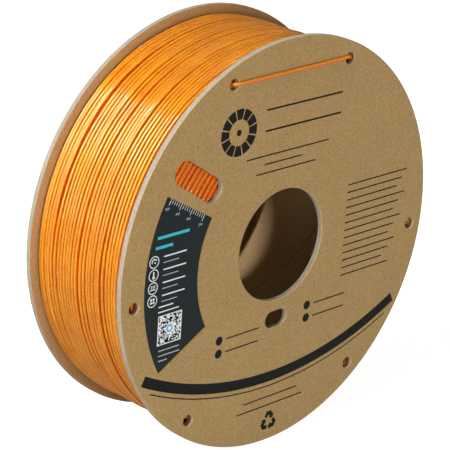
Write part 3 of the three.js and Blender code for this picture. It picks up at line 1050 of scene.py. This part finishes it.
def printed(name, shapes, material, paper_face):
    """Thin plates: each outline twice, in front of and inside the paper, joined all round."""
    vertices, quads, triangles, start = [], [], [], 0
    for outer, inner in shapes:
        flat = outer if inner is None else np.concatenate([outer, inner])
        count = len(flat)
        for depth in (paper_face - INK_THICKNESS, paper_face + INK_SUNK):
            vertices.append(upright(flat, depth))
        here = np.arange(len(outer))
        walls = [here]
        if inner is None:
            net = triangulated(flat, [], [here.tolist()], 1)
            triangles += [start + net, start + count + net[:, ::-1]]
        else:
            band = strips(2, len(outer))[:, [0, 3, 2, 1]]
            quads += [start + band, start + count + band[:, ::-1]]
            walls.append((here + len(outer))[::-1])
        for loop in walls:
            after = np.roll(loop, -1)
            quads.append(start + np.stack([loop, loop + count, after + count, after], axis=-1))
        start += 2 * count
    faces = [np.concatenate(group) for group in (quads, triangles) if group]
    make_piece(name, np.concatenate(vertices), faces, material, "label", sharp_degrees=20.0)


# %% [markdown]
# ## Prints on the kraft face
# The front carries plain marks only: an empty month dial and two write-in lines above the bore,
# ruled lines at the right, a plain band that follows the rim, and the common sign for recycling.
# They could be painted by a material, but plates keep their sharp edges from any distance.

# %% Prints on the kraft face
DIAL_CENTRE, DIAL_RADII, DIAL_HUB = np.array([-33.0, 61.0]), (6.2, 11.2), 1.5
MONTH_HALF_ANGLE = 13
WRITE_IN_LINES = ((-16.0, 34.0, 68.5), (-16.0, 34.0, 58.5))  # left, right, height
WRITE_IN_WIDTH = 0.9
MIDDLE_LINES = ((-27.0, 27.0, 46.6), (-15.0, 10.0, 42.4), (-20.0, 19.0, 38.2))
BOTTOM_LINES = ((-18.0, 18.0, -77.0), (-22.0, 22.0, -81.5))
SIDE_LINES, SIDE_LINES_TOP, SIDE_LINES_PITCH = 13, 20.5, 3.85
SIDE_LINES_LEFT, SIDE_LINES_RIGHT = 43.5, 85.5
LINE_WIDTH = 0.65
BULLETS = ((-37.0, -39.0), (-37.0, -45.5), (21.0, -35.5), (21.0, -42.0))
BULLET_RADIUS, BULLET_LINE = 2.2, (4.5, 26.0)  # the line's ends, from the bullet's middle
BAND_CENTRE = np.array([-0.4, 117.3])
BAND_RADII, THIN_BAND_RADII = (181.2, 186.4), (188.3, 188.9)
BAND_MARGIN = 4.5  # from the ends of the band to the rim
RECYCLE_CENTRE = np.array([0.2, -90.4])
RECYCLE_BEND = 1.15 * np.array([(-1.75, 1.87), (-0.75, 3.6), (0.75, 3.6), (1.42, 2.44)])
RECYCLE_ARROW = {"width": 2.1, "head_width": 4.2, "head_length": 2.0}


def ruled(left, right, height, width=LINE_WIDTH):
    """A level line to write on."""
    return bar(left, height - width / 2, right, height + width / 2)


kraft_prints = []
for month in range(12):
    middle = 90 - 30 * month
    month_ends = (middle - MONTH_HALF_ANGLE, middle + MONTH_HALF_ANGLE)
    kraft_prints.append(arc_band(*DIAL_RADII, *month_ends, DIAL_CENTRE, 8))
kraft_prints.append(disc(DIAL_CENTRE, DIAL_HUB))
kraft_prints += [ruled(*line, WRITE_IN_WIDTH) for line in WRITE_IN_LINES]
kraft_prints += [ruled(*line) for line in MIDDLE_LINES]
for number in range(SIDE_LINES):
    shorter = 3.1 * (number % 3)  # ragged, as lines of print end
    right = SIDE_LINES_RIGHT - shorter - 0.06 * number * number
    height = SIDE_LINES_TOP - SIDE_LINES_PITCH * number
    kraft_prints.append(ruled(SIDE_LINES_LEFT, right, height))
for inside, outside in (BAND_RADII, THIN_BAND_RADII):
    radius = (inside + outside) / 2
    reach = BAND_CENTRE[1] ** 2 + radius**2 - (FLANGE_RADIUS - BAND_MARGIN) ** 2
    half = math.degrees(math.acos(reach / (2 * BAND_CENTRE[1] * radius)))
    kraft_prints.append(arc_band(inside, outside, 270 - half, 270 + half, BAND_CENTRE, 90))
for left, height in BULLETS:
    line_start, line_end = (left + place for place in BULLET_LINE)
    kraft_prints += [disc((left, height), BULLET_RADIUS), ruled(line_start, line_end, height)]
kraft_prints += [ruled(*line) for line in BOTTOM_LINES]
recycle_arrow = bent_arrow(RECYCLE_BEND, **RECYCLE_ARROW)
for turn in (0, 120, 240):
    kraft_prints.append((turned(recycle_arrow, turn) + RECYCLE_CENTRE, None))
printed("kraft_face_prints", kraft_prints, INK_DARK, -FACE)

# %% [markdown]
# ## Prints on the gauge label
# The strand that is left is read where the winding crosses the scale at the window: the long
# ticks carry plain numbers. Below it stand four plain pictograms (a gauge, a thermometer, a hot
# plate and a fan) with write-in lines, and a square of random dots that nothing can scan.

# %% Scale of the gauge label
LABEL_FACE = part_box("gauge_label")[0].y / MM
LABEL_CENTRE = np.array([0.0, -2.6])  # of the arcs of its outline
LABEL_HALF_ANGLE = 29.4  # to each side of the left
SCALE_ANGLE = 180 - LABEL_HALF_ANGLE
SCALE_OUT = on_circle(SCALE_ANGLE, 1.0)
SCALE_DOWN = on_circle(SCALE_ANGLE + 90, 1.0)
LONG_RADII = (83.1, 75.7, 68.0, 59.2)  # of the long ticks
SHORT_TICKS = (4, 4, 5)  # after each long tick but the last
LONG_TICK, SHORT_TICK = (3.1, 0.3), (2.0, 0.24)  # length, width
TICK_MARGIN = 0.1


def tick(radius, length, width):
    """A stroke down from the label's upper edge at that radius."""
    edge = LABEL_CENTRE + SCALE_OUT * radius + SCALE_DOWN * TICK_MARGIN
    return stroke(edge, edge + SCALE_DOWN * length, width)


white_prints = []
for radius, ahead, count in zip(LONG_RADII, LONG_RADII[1:], SHORT_TICKS):
    white_prints.append(tick(radius, *LONG_TICK))
    for number in range(1, count + 1):
        white_prints.append(tick(radius + (ahead - radius) * number / (count + 1), *SHORT_TICK))
white_prints.append(tick(LONG_RADII[-1], *LONG_TICK))
print("ticks of the scale:", len(white_prints))

# %% Pictograms and write-in lines
SIGN_X, SIGN_HEIGHTS = -81.0, (10.3, 4.1, -2.1, -8.3)
SIGN_RING = (2.48, 2.92)
DOTS_LEFT, DOTS_TOP, DOTS_SIDE, DOTS_ROWS = -76.7, -16.7, 14.5, 21
DOTS_MARGIN, DOTS_CLEAR = 1.0, 4.2  # round the dots, and round the middle in dots
DOTS_OVERLAP = 0.999

headings = [bar(-79.6, 20.4, -60.5, 21.8), bar(-80.6, 15.8, -70.2, 17.2)]
grey_prints = []
for height in SIGN_HEIGHTS:
    white_prints.append(ring((SIGN_X, height), *SIGN_RING))
    white_prints.append(bar(-75.2, height + 1.1, -61.5, height + 1.75))
    grey_prints.append(bar(-75.4, height - 1.6, -66.0, height - 1.2))


def sign_bar(middle, left, low, right, high):
    """A bar given from the middle of its sign."""
    return bar(middle[0] + left, middle[1] + low, middle[0] + right, middle[1] + high)


gauge, thermometer, hot_plate, fan = (np.array([SIGN_X, height]) for height in SIGN_HEIGHTS)
white_prints += [
    arc_band(1.1, 1.6, 20, 200, gauge, 16),
    stroke(gauge, gauge + (0.9, -0.9), 0.5),
    sign_bar(thermometer, -0.35, -0.5, 0.35, 1.7),
    disc(thermometer - (0.0, 1.1), 0.75),
    sign_bar(hot_plate, -1.7, -1.0, 1.7, -0.5),
    *(sign_bar(hot_plate, x - 0.2, -0.1, x + 0.2, 1.3) for x in (-1.0, 0.0, 1.0)),
    *(disc(on_circle(angle, 1.05, fan), 0.62, 14) for angle in (45, 135, 225, 315)),
    bar(-77.0, -12.6, -68.0, -12.0),
    bar(-77.0, -15.1, -64.4, -14.5),
    bar(DOTS_LEFT, DOTS_TOP - DOTS_SIDE, DOTS_LEFT + DOTS_SIDE, DOTS_TOP),
]
for height, right in ((-33.9, -63.0), (-36.4, -62.5), (-38.9, -70.0)):
    grey_prints.append(ruled(-75.5, right, height, 0.5))

dots_middle = np.array([DOTS_LEFT + DOTS_SIDE / 2, DOTS_TOP - DOTS_SIDE / 2])
dot = (DOTS_SIDE - DOTS_MARGIN) / DOTS_ROWS
from_middle = np.arange(DOTS_ROWS) - DOTS_ROWS // 2
across, down = np.meshgrid(from_middle, from_middle)
dark = (random.random(across.shape) < 0.5) & (np.hypot(across, down) > DOTS_CLEAR)
dot_middles = dots_middle + dot * DOTS_OVERLAP * np.stack([across[dark], down[dark]], axis=-1)
dots = [bar(*(middle - dot / 2), *(middle + dot / 2)) for middle in dot_middles]

printed("label_white_prints", white_prints, INK_WHITE, LABEL_FACE)
printed("label_grey_prints", grey_prints, INK_GREY, LABEL_FACE)
printed("label_teal_prints", headings, INK_TEAL, LABEL_FACE)
printed("label_pattern_prints", dots, INK_DARK, LABEL_FACE - INK_THICKNESS)
dots_ring = [ring(dots_middle, 1.1, 1.9, 32)]
printed("label_pattern_ring", dots_ring, INK_TEAL, LABEL_FACE - INK_THICKNESS)

# %% [markdown]
# ## Numbers
# The numbers are set in the plain built-in font. A text is turned into a mesh first, and only
# then are its points laid on the label, so that the object itself is never moved. Blender leaves
# the rims of a text's faces open, so points that lie together are joined.

# %% Numbers
NUMBER_SIZE = 1.75
NUMBER_DROP, NUMBER_LOWERED = 4.9, 0.6  # along the ticks to its middle, then to its baseline


def merge_corners(mesh):
    """Joins points that lie together, so that the text is one closed body."""
    body = bmesh.new()
    body.from_mesh(mesh)
    bmesh.ops.remove_doubles(body, verts=body.verts, dist=1e-7)
    bmesh.ops.recalc_face_normals(body, faces=body.faces)
    body.to_mesh(mesh)
    body.free()


def add_number(text, baseline):
    """A text's points (a, b, c) go to baseline + (a, b), with c across the label's face."""
    curve = bpy.data.curves.new(f"number_{text}", "FONT")
    curve.body, curve.size, curve.align_x = text, NUMBER_SIZE, "CENTER"
    curve.extrude = (INK_THICKNESS + INK_SUNK) / 2
    curve.resolution_u = 3
    holder = bpy.data.objects.new(curve.name, curve)
    scene.collection.objects.link(holder)
    bpy.context.view_layer.update()
    evaluated = holder.evaluated_get(bpy.context.evaluated_depsgraph_get())
    mesh = bpy.data.meshes.new_from_object(evaluated)
    bpy.data.objects.remove(holder)
    points = np.empty(3 * len(mesh.vertices))
    mesh.vertices.foreach_get("co", points)
    points = points.reshape(-1, 3)
    middle = LABEL_FACE + (INK_SUNK - INK_THICKNESS) / 2
    placed = upright(baseline + points[:, :2], middle - points[:, 2])
    mesh.vertices.foreach_set("co", to_frame(placed).ravel())
    merge_corners(mesh)
    add_piece(f"scale_number_{text}", mesh, INK_GREY)


for text, radius in zip(("800", "600", "400", "200"), LONG_RADII):
    below = LABEL_CENTRE + SCALE_OUT * radius + SCALE_DOWN * NUMBER_DROP
    add_number(text, below - (0.0, NUMBER_LOWERED))
print("numbers on the scale:", len(LONG_RADII))

# %% [markdown]
# ## Floor and white surroundings
# The spool stands on a pale floor in a white room. A floor bright enough to look white would throw
# its light back on the spool, so it is darker for light that bounces. Where it is seen directly it
# adds a little light of its own, so that it melts into the white while the spool's shadow stays.

# %% Floor and world
FLOOR_SIZE = 8.0
FLOOR_GREY, FLOOR_SEEN_GREY, FLOOR_GLOW = 0.4, 0.42, 0.9
WORLD_LEVEL = 0.12


def seen_directly(nodes):
    """1 for rays from the camera, for reflections and for glass, 0 for light that bounces."""
    path = nodes.node("LightPath").outputs
    seen = nodes.step("MAXIMUM", path["Is Camera Ray"], path["Is Glossy Ray"])
    return nodes.step("MAXIMUM", seen, path["Is Transmission Ray"])


def pale_floor():
    """Diffuse grey; where it is seen directly, a diffuse grey plus a steady glow."""
    material = bpy.data.materials.new("pale_floor")
    nodes = Nodes(material)
    nodes.tree.nodes.clear()
    bounce = nodes.node("BsdfDiffuse", Color=(*[FLOOR_GREY] * 3, 1.0))
    seen = nodes.node("BsdfDiffuse", Color=(*[FLOOR_SEEN_GREY] * 3, 1.0))
    glow = nodes.node("Emission", Strength=FLOOR_GLOW)
    added = nodes.node("AddShader", i0=seen.outputs[0], i1=glow.outputs[0])
    direct = seen_directly(nodes)
    mixed = nodes.node("MixShader", i0=direct, i1=bounce.outputs[0], i2=added.outputs[0])
    nodes.node("OutputMaterial", Surface=mixed.outputs[0])
    return material


half = FLOOR_SIZE / 2
floor_corners = [(-half, -half, 0), (half, -half, 0), (half, half, 0), (-half, half, 0)]
floor_mesh = bpy.data.meshes.new("floor")
floor_mesh.from_pydata(floor_corners, [], [(0, 1, 2, 3)])
floor_mesh.materials.append(pale_floor())
floor = bpy.data.objects.new("floor", floor_mesh)
scene.collection.objects.link(floor)

scene.world = bpy.data.worlds.new("white_room")
room = Nodes(scene.world)
level = room.node("MapRange", Value=seen_directly(room), To_Min=WORLD_LEVEL, To_Max=1.0)
background = room.tree.nodes["Background"]
background.inputs["Color"].default_value = (1, 1, 1, 1)
room.tree.links.new(level.outputs[0], background.inputs["Strength"])
print(f"floor {FLOOR_SIZE:.0f} m wide, room at {WORLD_LEVEL:.2f} of white where light bounces")

# %% [markdown]
# ## Soft lamps
# Four soft lamps light the spool: a tall one and a narrow one at its left draw the first
# highlights on the strand, one in front opens the printed face, and one behind keeps the far rim
# and the back from going dark.

# %% Soft lamps
SPOOL_MIDDLE = Vector((0.0, 0.0, AXIS_HEIGHT))
LEFT_DIRECTION, UPPER_LEFT_DIRECTION = (-79.0, 30.0), (-110.0, 47.0)  # azimuth, elevation
NEAR_LAMP, FAR_LAMP = 1.3, 3.0


def soft_lamp(name, direction, distance, size, watts):
    """A lamp of size (width, height) that looks at the middle of the spool from that direction."""
    data = bpy.data.lights.new(name, "AREA")
    data.shape, data.energy = "RECTANGLE", watts
    data.size, data.size_y = size
    lamp = bpy.data.objects.new(name, data)
    azimuth, elevation = map(math.radians, direction)
    turn = camera_turn(azimuth, elevation, 0.0)
    lamp.matrix_world = Matrix.Translation(SPOOL_MIDDLE + turn.col[2].to_3d() * distance) @ turn
    scene.collection.objects.link(lamp)
    return lamp


soft_lamp("left_lamp", LEFT_DIRECTION, NEAR_LAMP, (0.1, 1.6), 16.0)
soft_lamp("strip_lamp", UPPER_LEFT_DIRECTION, NEAR_LAMP, (0.07, 0.6), 13.5)
soft_lamp("front_lamp", (-7.0, 4.0), FAR_LAMP, (0.5, 0.5), 54.0)
soft_lamp("back_lamp", (150.0, 12.0), FAR_LAMP, (0.6, 0.6), 26.0)

# %% [markdown]
# ## Highlight lamps
# The long white lines on the strand are mirror images of bright, narrow lamps. Lamps that strong
# would bleach the paper and the orange, so these light nothing: diffuse rays don't see them, and
# only the glossy coat of the two wound layers mirrors them.

# %% Highlight lamps
GLOSSY_PIECES = bpy.data.collections.new("glossy_pieces")
for piece_name in ("filament_wound_layer", "filament_layer_below"):
    GLOSSY_PIECES.objects.link(bpy.data.objects[piece_name])


def highlight_lamp(name, direction, size, watts):
    """A soft lamp that only the gloss of the strand mirrors: it adds highlights and no light."""
    lamp = soft_lamp(name, direction, NEAR_LAMP, size, watts)
    lamp.visible_diffuse = False
    lamp.light_linking.receiver_collection = GLOSSY_PIECES


highlight_lamp("long_highlight", UPPER_LEFT_DIRECTION, (0.04, 0.8), 110.0)
highlight_lamp("short_highlight", UPPER_LEFT_DIRECTION, (0.04, 0.4), 60.0)
highlight_lamp("left_highlight", LEFT_DIRECTION, (0.06, 1.6), 140.0)
print("lamps:", len(bpy.data.lights))
